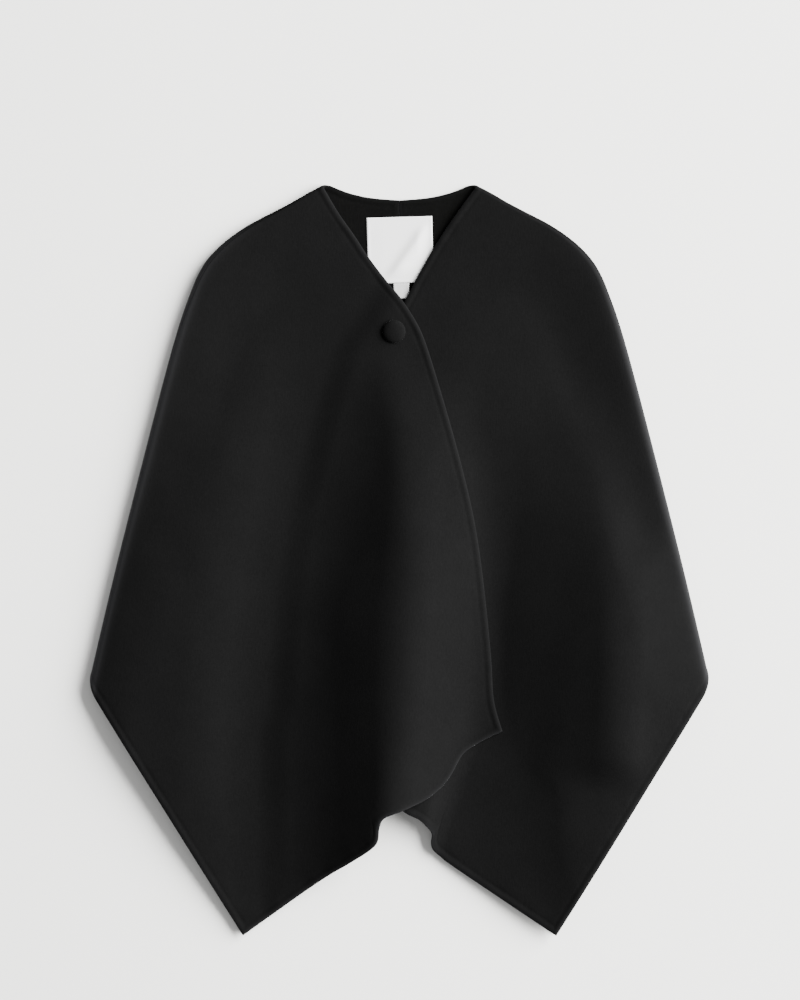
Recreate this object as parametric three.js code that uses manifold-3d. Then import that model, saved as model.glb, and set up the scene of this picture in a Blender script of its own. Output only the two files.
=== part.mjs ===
// Wool cloak, laid flat with its front up, in millimetres. +Z is up from the surface that it lies on,
// +Y runs towards the neck and +X towards the wearer's left. The origin is below the middle of its box.

import * as THREE from 'three';
import { mergeVertices } from 'three/addons/utils/BufferGeometryUtils.js';
import Module from 'manifold-3d';

const wasm = await Module();
wasm.setup();

// Cloth: double-faced wool with its edges turned in
const WALL = 3;
const SEAM_GAP = 0.3;
const LAP_CLEARANCE = 1.3;
const REST_HEIGHT = 8;

// Cells of the panels: across the folds, along them, and round the side rolls
const FRONT_CELLS = { across: 32, along: 24, roll: 3 };
const BACK_CELLS = { across: 32, along: 8, roll: 6 };

// Outermost line of each side, from the neck point over the shoulder to the side point, as half widths
const SIDE_LINE = [
  { x: 91, y: 450 },
  { x: 111, y: 439.5 },
  { x: 128, y: 429.5 },
  { x: 146, y: 420 },
  { x: 182, y: 401 },
  { x: 209, y: 382 },
  { x: 229, y: 362 },
  { x: 241, y: 343 },
  { x: 250, y: 322 },
  { x: 264, y: 282 },
  { x: 281, y: 222 },
  { x: 312, y: 102 },
  { x: 342, y: -18 },
  { x: 366, y: -120 },
  { x: 371.5, y: -146 },
  { x: 372.5, y: -168 },
];
const HEM_CORNER = { x: 187.5, y: -450 };

// Front edges, from the neck point to the lower front corner, as distances across the centre line
const RIGHT_EDGE = [
  { x: -90, y: 446 },
  { x: -73, y: 416.5 },
  { x: -54, y: 389 },
  { x: -37, y: 363 },
  { x: -14, y: 332.5 },
  { x: 1, y: 314.5 },
  { x: 14, y: 295.5 },
  { x: 24.5, y: 277 },
  { x: 33, y: 255 },
  { x: 45, y: 217 },
  { x: 63, y: 156 },
  { x: 79, y: 96 },
  { x: 91, y: 42 },
  { x: 99, y: -12 },
  { x: 105, y: -66 },
  { x: 110, y: -120 },
  { x: 113, y: -168 },
  { x: 123, y: -205 },
];
const LEFT_EDGE = [
  { x: -90, y: 446 },
  { x: -72.5, y: 422 },
  { x: -56.5, y: 398.5 },
  { x: -41, y: 374 },
  { x: -19, y: 335 },
  { x: -9.5, y: 316.5 },
  { x: 0.5, y: 299 },
  { x: 14, y: 278 },
  { x: 33, y: 255 },
  { x: 45, y: 217 },
  { x: 63, y: 156 },
  { x: 79, y: 96 },
  { x: 91, y: 42 },
  { x: 99, y: -12 },
  { x: 105, y: -66 },
  { x: 110, y: -120 },
  { x: 113, y: -168 },
  { x: 123, y: -205 },
];

// Hem of each front from its lower front corner to the hem corner, stepped where a fold stands up
const RIGHT_HEM = [
  { x: 123, y: -205 },
  { x: 106, y: -213 },
  { x: 87, y: -224 },
  { x: 76, y: -233 },
  { x: 69, y: -245 },
  { x: 60, y: -261 },
  { x: 48, y: -274 },
  { x: 32, y: -286 },
  { x: 3, y: -299 },
  { x: -18, y: -307 },
  { x: -24, y: -318 },
  { x: -26, y: -334 },
  { x: -34, y: -344 },
  { x: -59, y: -361 },
  { x: -97, y: -385 },
  { x: -187.5, y: -450 },
];
const LEFT_HEM = [
  { x: 123, y: -205 },
  { x: 80, y: -230 },
  { x: 40, y: -262 },
  { x: -3, y: -299 },
  { x: -23, y: -310 },
  { x: -34.5, y: -320.5 },
  { x: -40, y: -328.5 },
  { x: -37.5, y: -338.5 },
  { x: -40, y: -347 },
  { x: -49, y: -355.5 },
  { x: -71, y: -372 },
  { x: -187.5, y: -450 },
];

// Back: neck edge from the neck point to the centre-back seam, and the top of the hem at that seam
const BACK_NECK = [
  { x: 81, y: 447 },
  { x: 63, y: 440 },
  { x: 45, y: 435.5 },
  { x: 27, y: 433 },
  { x: 0, y: 431.5 },
];
const BACK_HEM_TOP = -290;

// Round edges of the sides: radius, and the angle above the widest line at which the seam lies
const ROLLS = [
  { along: 0, right_radius: 5, left_radius: 5, right_seam: 30, left_seam: 30 },
  { along: 0.1, right_radius: 5.5, left_radius: 5.5, right_seam: 60, left_seam: 40 },
  { along: 0.22, right_radius: 7, left_radius: 7, right_seam: 75, left_seam: 45 },
  { along: 0.32, right_radius: 7.5, left_radius: 8, right_seam: 60, left_seam: 35 },
  { along: 0.45, right_radius: 8, left_radius: 9, right_seam: 20, left_seam: 10 },
  { along: 0.7, right_radius: 8.5, left_radius: 11, right_seam: 0, left_seam: 0 },
  { along: 1, right_radius: 9, left_radius: 11, right_seam: 0, left_seam: 0 },
];
// Width over which a roll runs out into the folds, and how far its widest line stops short of the hem
const ROLL_BLEND = 85;
const HEM_SWEEP = 1.7;

// Places across the fronts of the crests and of the dips between them, at each height on the cloak
const FOLD_PLACES = [
  { y: 330, soft: -190, dip: -88, ridge: -2, foot: 84, side: 200, rim: 300 },
  { y: 245, soft: -194, dip: -90, ridge: 0, foot: 92, side: 215, rim: 315 },
  { y: 168, soft: -208, dip: -102, ridge: 8, foot: 104, side: 238, rim: 334 },
  { y: 96, soft: -226, dip: -114, ridge: 12, foot: 116, side: 258, rim: 348 },
  { y: 24, soft: -246, dip: -118, ridge: 12, foot: 114, side: 264, rim: 360 },
  { y: -48, soft: -258, dip: -132, ridge: 8, foot: 112, side: 264, rim: 364 },
  { y: -120, soft: -263, dip: -145, ridge: 3, foot: 112, side: 262, rim: 364 },
  { y: -192, soft: -267, dip: -156, ridge: -2, foot: 104, side: 258, rim: 360 },
  { y: -264, soft: -268, dip: -161, ridge: -8, foot: 82, side: 257, rim: 352 },
  { y: -340, soft: -265, dip: -150, ridge: -20, foot: 56, side: 250, rim: 340 },
  { y: -450, soft: -252, dip: -140, ridge: -40, foot: 20, side: 235, rim: 320 },
];

// Heights of the cloth on the same crests and dips
const FOLD_HEIGHTS = [
  { y: 330, soft: 8, ridge: 8, foot: 8.5, side: 8, rim: 8 },
  { y: 245, soft: 9, ridge: 11, foot: 13, side: 9, rim: 9 },
  { y: 168, soft: 14.5, ridge: 24, foot: 15, side: 16, rim: 14 },
  { y: 96, soft: 20, ridge: 33, foot: 13, side: 24, rim: 20 },
  { y: 24, soft: 23.5, ridge: 40, foot: 11, side: 36, rim: 28 },
  { y: -48, soft: 25, ridge: 46, foot: 11, side: 45, rim: 33 },
  { y: -120, soft: 25, ridge: 50, foot: 10, side: 49, rim: 33 },
  { y: -192, soft: 24, ridge: 52, foot: 9, side: 47, rim: 28 },
  { y: -264, soft: 22, ridge: 52, foot: 9, side: 41, rim: 22 },
  { y: -340, soft: 19, ridge: 48, foot: 9, side: 36, rim: 15 },
  { y: -450, soft: 13, ridge: 30, foot: 8, side: 19, rim: 9 },
];

// Shares of a slope's width over which it starts and ends softly, for the slopes up to the middle ridge,
// down to its foot and up to the side fold; between them each slope is even
const FOLD_SOFTNESS = [
  { y: 245, ridge_in: 0.6, ridge_out: 0.3, foot_in: 0.4, foot_out: 0.4, side_in: 0.4, side_out: 0.4 },
  { y: 132, ridge_in: 0.75, ridge_out: 0.2, foot_in: 0.35, foot_out: 0.3, side_in: 0.3, side_out: 0.3 },
  { y: -48, ridge_in: 0.45, ridge_out: 0.25, foot_in: 0.3, foot_out: 0.28, side_in: 0.12, side_out: 0.18 },
  { y: -144, ridge_in: 0.5, ridge_out: 0.2, foot_in: 0.28, foot_out: 0.28, side_in: 0.12, side_out: 0.16 },
  { y: -228, ridge_in: 0.58, ridge_out: 0.15, foot_in: 0.28, foot_out: 0.28, side_in: 0.3, side_out: 0.15 },
  { y: -300, ridge_in: 0.62, ridge_out: 0.12, foot_in: 0.35, foot_out: 0.3, side_in: 0.72, side_out: 0.12 },
  { y: -450, ridge_in: 0.6, ridge_out: 0.2, foot_in: 0.4, foot_out: 0.3, side_in: 0.75, side_out: 0.12 },
];

// Under the lap's hem the left front sags below the fold of the right one
const LAP_SAG = { from_y: -235, to_y: -280, height: 24, share: 0.85, ease: 6 };

// Where the lower layer of the lap makes the upper one rise, measured across its hidden edge
const LAP_RISE = { from: -48, to: -8 };

// Covered button, its thread shank and its buttonhole, measured inwards and outwards from the shank
const BUTTON = { x: -6.6, y: 273.6, radius: 14, thickness: 7, edge: 2.4 };
const SHANK_RADIUS = 1.4;
const BUTTONHOLE = { inwards: 20.5, outwards: 9.5, half_width: 1.8, angle: 200 };

// Labels inside the back neck
const LABEL = { width: 78.5, height: 79, centre_x: 0.8, top: 411.4, tilt: 1.6, thickness: 1 };
const CARE_LABEL = { width: 19, height: 18.5, centre_x: 2.2, thickness: 1 };

const smooth = (t) => {
  const k = Math.min(Math.max(t, 0), 1);
  return k * k * (3 - 2 * k);
};
const mix = (a, b, t) => a + (b - a) * t;

// Reads a named column of a table of rows at a place between its rows, eased from row to row
function column(rows, key, place, name) {
  const rising = rows[rows.length - 1][key] > rows[0][key];
  const order = rising ? rows : [...rows].reverse();
  if (place <= order[0][key]) return order[0][name];
  for (let i = 1; i < order.length; i += 1) {
    if (place > order[i][key]) continue;
    const before = order[Math.max(i - 2, 0)];
    const after = order[Math.min(i + 1, order.length - 1)];
    const a = order[i - 1];
    const b = order[i];
    const span = b[key] - a[key];
    const t = (place - a[key]) / span;
    const slopeA = ((b[name] - before[name]) / (b[key] - before[key])) * span;
    const slopeB = ((after[name] - a[name]) / (after[key] - a[key])) * span;
    const t2 = t * t;
    const t3 = t2 * t;
    return (2 * t3 - 3 * t2 + 1) * a[name] + (t3 - 2 * t2 + t) * slopeA
      + (3 * t2 - 2 * t3) * b[name] + (t3 - t2) * slopeB;
  }
  return order[order.length - 1][name];
}

// Share of an even slope from 0 to 1 that starts and ends softly over shares of its width
function ramp(t, start, end) {
  const steep = 1 / (1 - (start + end) / 2);
  if (t < start) return (steep * t * t) / (2 * start);
  if (t > 1 - end) return 1 - (steep * (1 - t) ** 2) / (2 * end);
  return steep * (t - start / 2);
}

// Height of the fronts' upper face over the table before the lap is added
function foldHeight(x, y) {
  const place = (name) => column(FOLD_PLACES, 'y', y, name);
  const height = (name) => column(FOLD_HEIGHTS, 'y', y, name);
  const softness = (name) => [
    column(FOLD_SOFTNESS, 'y', y, `${name}_in`),
    column(FOLD_SOFTNESS, 'y', y, `${name}_out`),
  ];
  const marks = [
    { x: place('soft'), z: height('soft') },
    { x: place('dip'), z: REST_HEIGHT, slope: [0.5, 0.5] },
    { x: place('ridge'), z: height('ridge'), slope: softness('ridge') },
    { x: place('foot'), z: height('foot'), slope: softness('foot') },
    { x: place('side'), z: height('side'), slope: softness('side') },
    { x: place('rim'), z: height('rim'), slope: [0.3, 0.7] },
  ];
  if (x <= marks[0].x) return marks[0].z;
  for (let i = 1; i < marks.length; i += 1) {
    if (x > marks[i].x) continue;
    const a = marks[i - 1];
    const b = marks[i];
    return mix(a.z, b.z, ramp((x - a.x) / (b.x - a.x), ...b.slope));
  }
  return marks[marks.length - 1].z;
}

// Height of the left front's upper face, which sags where the lap's hem crosses it
function leftHeight(x, y) {
  const z = foldHeight(x, y);
  const over = Math.max(z - LAP_SAG.height, 0);
  const reached = smooth((y - LAP_SAG.from_y) / (LAP_SAG.to_y - LAP_SAG.from_y));
  return z - (reached * LAP_SAG.share * over * over) / (over + LAP_SAG.ease);
}

const curveOf = (rows, side) => new THREE.SplineCurve(rows.map((r) => new THREE.Vector2(side * r.x, r.y)));

// How far the neck edges lean along the shoulder as they cross its round edge, in front and behind
const NECK_LEAN = { front: 0.19, back: -0.9 };

// A front that rises this much from its roll to the fold leaves the roll at a slant
const FULL_RISE = 8;

// Place on a panel's round side edge: u along the side, angle up from the widest line, depth into the wall
function makeRoll(side) {
  const line = curveOf(SIDE_LINE, side);
  const name = side < 0 ? 'right' : 'left';
  const length = line.getLength();
  return {
    radius: (u) => column(ROLLS, 'along', u, `${name}_radius`),
    seam: (u) => THREE.MathUtils.degToRad(column(ROLLS, 'along', u, `${name}_seam`)),
    rise(u) {
      const p = line.getPointAt(u);
      return Math.max(foldHeight(p.x, p.y) - 2 * this.radius(u), 0);
    },
    // Angle at which the front leaves the roll for the fold beside it
    leave(u) {
      return Math.PI / 2 - Math.atan((2 * smooth(this.rise(u) / FULL_RISE) * this.rise(u)) / ROLL_BLEND);
    },
    point(u, angle, depth) {
      const radius = this.radius(u);
      const hemShift = (HEM_SWEEP * radius * (Math.PI / 2 - Math.abs(angle))) / length;
      const lean = angle > 0 ? NECK_LEAN.front : NECK_LEAN.back;
      const neckShift = (lean * radius * Math.abs(angle)) / length;
      const place = u * (1 - hemShift) + (1 - u) * neckShift;
      const s = Math.min(Math.max(place, 0), 1);
      const d = line.getTangentAt(s);
      const p = line.getPointAt(s).addScaledVector(d, (place - s) * length);
      const inward = new THREE.Vector2(-side * -d.y, -side * d.x);
      const reach = radius - (radius - depth) * Math.cos(angle);
      const z = radius + (radius - depth) * Math.sin(angle);
      return new THREE.Vector3(p.x + inward.x * reach, p.y + inward.y * reach, z);
    },
  };
}

// Point between four border curves; each border is a function of 0 to 1 giving a plan point
function between(borders, u, v) {
  const { top, bottom, inner, outer } = borders;
  const p = new THREE.Vector2();
  p.addScaledVector(top(u), 1 - v).addScaledVector(bottom(u), v);
  p.addScaledVector(inner(v), 1 - u).addScaledVector(outer(v), u);
  p.addScaledVector(top(0), -(1 - u) * (1 - v)).addScaledVector(top(1), -u * (1 - v));
  p.addScaledVector(bottom(0), -(1 - u) * v).addScaledVector(bottom(1), -u * v);
  return p;
}

// Closed wall between two grids of points, rows of equal length
function wallGeometry(face, back) {
  const rows = face.length;
  const columns = face[0].length;
  const positions = [];
  for (const grid of [face, back]) {
    for (const row of grid) {
      for (const p of row) positions.push(p.x, p.y, p.z);
    }
  }
  const at = (layer, j, i) => layer * rows * columns + j * columns + i;
  const index = [];
  const quad = (a, b, c, d) => index.push(a, b, c, a, c, d);
  for (let j = 0; j < rows - 1; j += 1) {
    for (let i = 0; i < columns - 1; i += 1) {
      quad(at(0, j, i), at(0, j + 1, i), at(0, j + 1, i + 1), at(0, j, i + 1));
      quad(at(1, j, i), at(1, j, i + 1), at(1, j + 1, i + 1), at(1, j + 1, i));
    }
  }
  for (let i = 0; i < columns - 1; i += 1) {
    quad(at(0, 0, i), at(0, 0, i + 1), at(1, 0, i + 1), at(1, 0, i));
    quad(at(0, rows - 1, i + 1), at(0, rows - 1, i), at(1, rows - 1, i), at(1, rows - 1, i + 1));
  }
  for (let j = 0; j < rows - 1; j += 1) {
    quad(at(0, j + 1, 0), at(0, j, 0), at(1, j, 0), at(1, j + 1, 0));
    quad(at(0, j, columns - 1), at(0, j + 1, columns - 1), at(1, j + 1, columns - 1), at(1, j, columns - 1));
  }
  const geometry = new THREE.BufferGeometry();
  geometry.setAttribute('position', new THREE.Float32BufferAttribute(positions, 3));
  geometry.setIndex(index);
  return volumeOf(geometry) < 0 ? turned(geometry) : geometry;
}

function volumeOf(geometry) {
  const index = geometry.index.array;
  const position = geometry.attributes.position;
  const [a, b, c] = [new THREE.Vector3(), new THREE.Vector3(), new THREE.Vector3()];
  let sum = 0;
  for (let i = 0; i < index.length; i += 3) {
    a.fromBufferAttribute(position, index[i]);
    b.fromBufferAttribute(position, index[i + 1]);
    c.fromBufferAttribute(position, index[i + 2]);
    sum += a.dot(b.cross(c)) / 6;
  }
  return sum;
}

function turned(geometry) {
  const index = Array.from(geometry.index.array);
  for (let i = 0; i < index.length; i += 3) [index[i], index[i + 1]] = [index[i + 1], index[i]];
  geometry.setIndex(index);
  return geometry;
}

// Upper and lower face points of a front at a plan point, and the height that the lap adds
const hiddenEdge = LEFT_EDGE.map((p) => ({ x: -p.x, y: p.y }));
const SLOPE_STEP = 1;

function slopeOf(height, x, y) {
  return new THREE.Vector2(
    (height(x + SLOPE_STEP, y) - height(x - SLOPE_STEP, y)) / (2 * SLOPE_STEP),
    (height(x, y + SLOPE_STEP) - height(x, y - SLOPE_STEP)) / (2 * SLOPE_STEP),
  );
}

function upperHeight(x, y) {
  const past = x - column(hiddenEdge, 'y', y, 'x');
  const cover = smooth((past - LAP_RISE.from) / (LAP_RISE.to - LAP_RISE.from));
  const steepness = Math.hypot(1, slopeOf(foldHeight, x, y).length());
  return foldHeight(x, y) + cover * (WALL * steepness + LAP_CLEARANCE);
}

function frontPanel(side, edgeRows, hemRows) {
  const roll = makeRoll(side);
  const height = side < 0 ? upperHeight : leftHeight;
  const edge = curveOf(edgeRows, -side);
  const hem = curveOf(hemRows, -side);
  const plan = (p) => new THREE.Vector2(p.x, p.y);
  const sideStart = plan(roll.point(1, roll.leave(1), 0));
  const corner = new THREE.Vector2(side * HEM_CORNER.x, HEM_CORNER.y);
  const neckStart = plan(roll.point(0, roll.leave(0), 0));
  const edgeShift = neckStart.clone().sub(edge.getPointAt(0));
  const borders = {
    top: (u) => plan(roll.point(u, roll.leave(u), 0)),
    bottom: (u) => hem.getPointAt(u),
    inner: (v) => edge.getPointAt(v).addScaledVector(edgeShift, Math.max(1 - v * 12, 0)),
    outer: (v) => sideStart.clone().lerp(corner, v),
  };
  const edgeLength = edge.getLength();
  const hemLength = sideStart.distanceTo(corner);
  const face = [];
  const under = [];
  const { across, along, roll: bend } = FRONT_CELLS;
  for (let j = 0; j < bend; j += 1) {
    const faceRow = [];
    const underRow = [];
    for (let i = 0; i <= across; i += 1) {
      const u = i / across;
      const gap = SEAM_GAP / 2 / (roll.radius(u) - WALL / 2);
      const angle = mix(roll.seam(u) + gap, roll.leave(u), j / bend);
      faceRow.push(roll.point(u, angle, 0));
      underRow.push(roll.point(u, angle, WALL));
    }
    face.push(faceRow);
    under.push(underRow);
  }
  for (let j = 0; j <= along; j += 1) {
    const v = j / along;
    const faceRow = [];
    const underRow = [];
    for (let i = 0; i <= across; i += 1) {
      const u = i / across;
      const p = between(borders, u, v);
      const edgeHeight = roll.radius(u) * (1 + Math.sin(roll.leave(u)));
      const slant = smooth(roll.rise(u) / FULL_RISE);
      const inside = (q, w) => {
        const t = Math.min(q / ROLL_BLEND, 1);
        return mix(edgeHeight, w, mix(smooth(t), t * (2 - t), slant));
      };
      const distance = v * mix(edgeLength, hemLength, u);
      const z = inside(distance, height(p.x, p.y));
      const slope = slopeOf((x, y) => inside(distance, height(x, y)), p.x, p.y);
      const normal = new THREE.Vector3(-slope.x, -slope.y, 1).normalize();
      const top = new THREE.Vector3(p.x, p.y, z);
      faceRow.push(top);
      underRow.push(top.clone().addScaledVector(normal, -WALL));
    }
    face.push(faceRow);
    under.push(underRow);
  }
  return wallGeometry(face, under);
}

function backPanel(side) {
  const roll = makeRoll(side);
  const neck = curveOf(BACK_NECK, side);
  const plan = (p) => new THREE.Vector2(p.x, p.y);
  const low = -Math.PI / 2;
  const sideStart = plan(roll.point(1, low, 0));
  const neckStart = plan(roll.point(0, low, 0));
  const seam = (side * SEAM_GAP) / 2;
  const top = new THREE.Vector2(seam, BACK_NECK[BACK_NECK.length - 1].y);
  const hemTop = new THREE.Vector2(seam, BACK_HEM_TOP);
  const corner = new THREE.Vector2(side * (HEM_CORNER.x - 1), HEM_CORNER.y + 2);
  const neckShift = neckStart.clone().sub(neck.getPointAt(0));
  const neckCells = 4;
  const neckShare = neckCells / BACK_CELLS.along;
  const innerBorder = (v) => {
    if (v >= neckShare) return top.clone().lerp(hemTop, (v - neckShare) / (1 - neckShare));
    const p = neck.getPointAt(v / neckShare).addScaledVector(neckShift, 1 - v / neckShare);
    return p.setX(side * Math.max(side * p.x, SEAM_GAP / 2));
  };
  const borders = {
    top: (u) => plan(roll.point(u, low, 0)),
    bottom: (u) => hemTop.clone().lerp(corner, u),
    inner: innerBorder,
    outer: (v) => sideStart.clone().lerp(corner, v),
  };
  const face = [];
  const inside = [];
  const { across, along, roll: bend } = BACK_CELLS;
  for (let j = 0; j < bend; j += 1) {
    const faceRow = [];
    const insideRow = [];
    for (let i = 0; i <= across; i += 1) {
      const u = i / across;
      const gap = SEAM_GAP / 2 / (roll.radius(u) - WALL / 2);
      const angle = mix(roll.seam(u) - gap, low, j / bend);
      faceRow.push(roll.point(u, angle, 0));
      insideRow.push(roll.point(u, angle, WALL));
    }
    face.push(faceRow);
    inside.push(insideRow);
  }
  for (let j = 0; j <= along; j += 1) {
    const row = [];
    for (let i = 0; i <= across; i += 1) row.push(between(borders, i / across, j / along));
    face.push(row.map((p) => new THREE.Vector3(p.x, p.y, 0)));
    inside.push(row.map((p) => new THREE.Vector3(p.x, p.y, WALL)));
  }
  return wallGeometry(face, inside);
}

// Solids for cutting
function solidOf(geometry) {
  const bare = geometry.clone();
  bare.deleteAttribute('normal');
  bare.deleteAttribute('uv');
  const merged = mergeVertices(bare, 1e-4);
  return new wasm.Manifold(new wasm.Mesh({
    numProp: 3,
    vertProperties: new Float32Array(merged.attributes.position.array),
    triVerts: new Uint32Array(merged.index.array),
  }));
}

function geometryOf(solid) {
  const mesh = solid.getMesh();
  const geometry = new THREE.BufferGeometry();
  geometry.setAttribute('position', new THREE.BufferAttribute(mesh.vertProperties, 3));
  geometry.setIndex(new THREE.BufferAttribute(mesh.triVerts, 1));
  return geometry;
}

// Buttonhole: a slot with round ends through the upper front
function buttonholeCutter() {
  const { inwards, outwards, half_width: half } = BUTTONHOLE;
  const shape = new THREE.Shape();
  shape.absarc(half - outwards, 0, half, -Math.PI / 2, Math.PI / 2, true);
  shape.absarc(inwards - half, 0, half, Math.PI / 2, -Math.PI / 2, true);
  const cutter = new THREE.ExtrudeGeometry(shape, { depth: 30, bevelEnabled: false, curveSegments: 6 });
  cutter.rotateZ(THREE.MathUtils.degToRad(BUTTONHOLE.angle));
  cutter.translate(BUTTON.x, BUTTON.y, -5);
  return cutter;
}

const wool = new THREE.MeshStandardMaterial({ color: '#1e1e1e', roughness: 0.95, metalness: 0 });
const satin = new THREE.MeshStandardMaterial({ color: '#e2e2e2', roughness: 0.5, metalness: 0 });
const thread = new THREE.MeshStandardMaterial({ color: '#161616', roughness: 0.8, metalness: 0 });

const cloak = new THREE.Group();

function add(name, geometry, material) {
  const mesh = new THREE.Mesh(geometry, material);
  mesh.name = name;
  cloak.add(mesh);
  return mesh;
}

add('right_back', backPanel(-1), wool);
add('left_back', backPanel(1), wool);
add('left_front', frontPanel(1, LEFT_EDGE, LEFT_HEM), wool);
const uncut = solidOf(frontPanel(-1, RIGHT_EDGE, RIGHT_HEM));
add('right_front', geometryOf(uncut.subtract(solidOf(buttonholeCutter()))), wool);

// Covered button: a flat-backed dome with a rounded rim
const buttonBase = upperHeight(BUTTON.x, BUTTON.y) + SEAM_GAP + 0.4;
const rim = BUTTON.radius;
const buttonProfile = [
  new THREE.Vector2(0, 0),
  new THREE.Vector2(rim - BUTTON.edge, 0),
  new THREE.Vector2(rim - 0.5, 0.8),
  new THREE.Vector2(rim, BUTTON.edge),
  new THREE.Vector2(rim - 0.5, BUTTON.thickness * 0.6),
  new THREE.Vector2(rim - BUTTON.edge, BUTTON.thickness * 0.82),
  new THREE.Vector2(rim * 0.5, BUTTON.thickness * 0.96),
  new THREE.Vector2(0, BUTTON.thickness),
];
const button = add('button', new THREE.LatheGeometry(buttonProfile, 36), wool);
button.geometry.rotateX(Math.PI / 2);
button.position.set(BUTTON.x, BUTTON.y, buttonBase);

const shankFoot = foldHeight(BUTTON.x, BUTTON.y) + SEAM_GAP;
const shankLength = buttonBase - SEAM_GAP - shankFoot;
const shankRod = new THREE.CylinderGeometry(SHANK_RADIUS, SHANK_RADIUS, shankLength, 12);
const shank = add('button_shank', shankRod, thread);
shank.geometry.rotateX(Math.PI / 2);
shank.position.set(BUTTON.x, BUTTON.y, shankFoot + shankLength / 2);

// Labels lie on the inside of the back, the care label below the neck label's edge
const labelZ = WALL + SEAM_GAP;
const label = add('neck_label', new THREE.BoxGeometry(LABEL.width, LABEL.height, LABEL.thickness), satin);
label.rotation.z = THREE.MathUtils.degToRad(LABEL.tilt);
label.position.set(LABEL.centre_x, LABEL.top - LABEL.height / 2, labelZ + LABEL.thickness / 2);

const tab = new THREE.BoxGeometry(CARE_LABEL.width, CARE_LABEL.height, CARE_LABEL.thickness);
const care = add('care_label', tab, satin);
care.rotation.z = label.rotation.z;
const careDrop = LABEL.height / 2 + SEAM_GAP + CARE_LABEL.height / 2;
care.position.set(CARE_LABEL.centre_x, label.position.y - careDrop, labelZ + CARE_LABEL.thickness / 2);

export default cloak;
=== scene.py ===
import math

import bmesh
import bpy
import numpy as np
from mathutils import Matrix, Vector


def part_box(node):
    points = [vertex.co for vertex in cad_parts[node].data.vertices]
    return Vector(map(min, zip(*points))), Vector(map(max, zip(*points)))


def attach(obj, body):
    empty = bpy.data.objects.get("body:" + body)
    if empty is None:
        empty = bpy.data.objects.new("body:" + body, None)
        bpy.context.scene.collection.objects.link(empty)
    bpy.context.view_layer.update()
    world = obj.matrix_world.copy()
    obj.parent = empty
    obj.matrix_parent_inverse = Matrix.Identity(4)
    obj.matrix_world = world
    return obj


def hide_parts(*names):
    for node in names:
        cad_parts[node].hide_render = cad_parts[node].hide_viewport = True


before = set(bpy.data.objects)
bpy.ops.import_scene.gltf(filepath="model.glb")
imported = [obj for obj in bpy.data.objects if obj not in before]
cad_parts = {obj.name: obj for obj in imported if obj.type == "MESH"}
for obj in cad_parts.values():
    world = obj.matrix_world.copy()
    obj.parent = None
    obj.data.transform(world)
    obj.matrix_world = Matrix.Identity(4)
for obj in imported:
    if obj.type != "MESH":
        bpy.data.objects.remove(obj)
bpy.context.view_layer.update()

# The table: a plain, pale sheet of board that the cloak lies on, with a large soft light low on the
# wearer's left and a weak even light from the room, so that the folds shade off to the other side.
# The camera looks straight down at it.
MM = 0.001


def linear(hex_colour):
    """Linear colour, with alpha, of an sRGB hex value."""
    parts = [int(hex_colour[i:i + 2], 16) / 255 for i in (1, 3, 5)]
    return [p / 12.92 if p <= 0.04045 else ((p + 0.055) / 1.055) ** 2.4 for p in parts] + [1]


def add_node(material, kind, settings=(), inputs=(), links=()):
    """A node with its settings and input values, and with links from other nodes' outputs."""
    tree = material.node_tree
    node = tree.nodes.new(kind)
    for key, value in dict(settings).items():
        setattr(node, key, value)
    for key, value in dict(inputs).items():
        node.inputs[key].default_value = value
    for key, output in dict(links).items():
        tree.links.new(output, node.inputs[key])
    return node


def bare_material(name):
    """A material with nothing in it but its output node."""
    material = bpy.data.materials.new(name)
    material.use_nodes = True
    material.node_tree.nodes.clear()
    return material, add_node(material, "ShaderNodeOutputMaterial")


TABLE_SIZE = 12
TABLE_DROP = 0.0006

bm = bmesh.new()
bmesh.ops.create_grid(bm, x_segments=1, y_segments=1, size=TABLE_SIZE / 2)
bmesh.ops.translate(bm, vec=(0, 0, -TABLE_DROP), verts=bm.verts)
mesh = bpy.data.meshes.new("table_board")
bm.to_mesh(mesh)
bm.free()
table_board = bpy.data.objects.new("table_board", mesh)
bpy.context.collection.objects.link(table_board)

# Matt painted board: even and pale, with hardly any gloss
matt_board, output = bare_material("matt_painted_board")
shader = add_node(matt_board, "ShaderNodeBsdfPrincipled", inputs={
    "Base Color": linear("#fdfdf9"), "Roughness": 0.85, "Specular IOR Level": 0.1})
matt_board.node_tree.links.new(shader.outputs["BSDF"], output.inputs["Surface"])
table_board.data.materials.append(matt_board)

CAMERA_HEIGHT = 6
CAMERA_PLACE = (0.0006, 0.072)
SEEN_LENGTH = 1.2

camera = bpy.data.objects.new("camera", bpy.data.cameras.new("camera"))
camera.data.sensor_width = 24
camera.data.lens = camera.data.sensor_width * CAMERA_HEIGHT / SEEN_LENGTH
camera.location = (*CAMERA_PLACE, CAMERA_HEIGHT)
bpy.context.collection.objects.link(camera)
bpy.context.scene.camera = camera

WINDOW = {"distance": 7, "bearing": 18, "height": 27, "width": 8, "tall": 6, "power": 4650}

bearing = math.radians(WINDOW["bearing"])
height = math.radians(WINDOW["height"])
towards = Vector((
    math.cos(height) * math.cos(bearing), math.cos(height) * math.sin(bearing), math.sin(height)))
light = bpy.data.lights.new("window_light", "AREA")
light.shape = "RECTANGLE"
light.size = WINDOW["width"]
light.size_y = WINDOW["tall"]
light.energy = WINDOW["power"]
window_light = bpy.data.objects.new("window_light", light)
window_light.location = towards * WINDOW["distance"]
window_light.rotation_euler = (-towards).to_track_quat("-Z", "Y").to_euler()
bpy.context.collection.objects.link(window_light)

ROOM_LIGHT = 0.46

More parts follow.
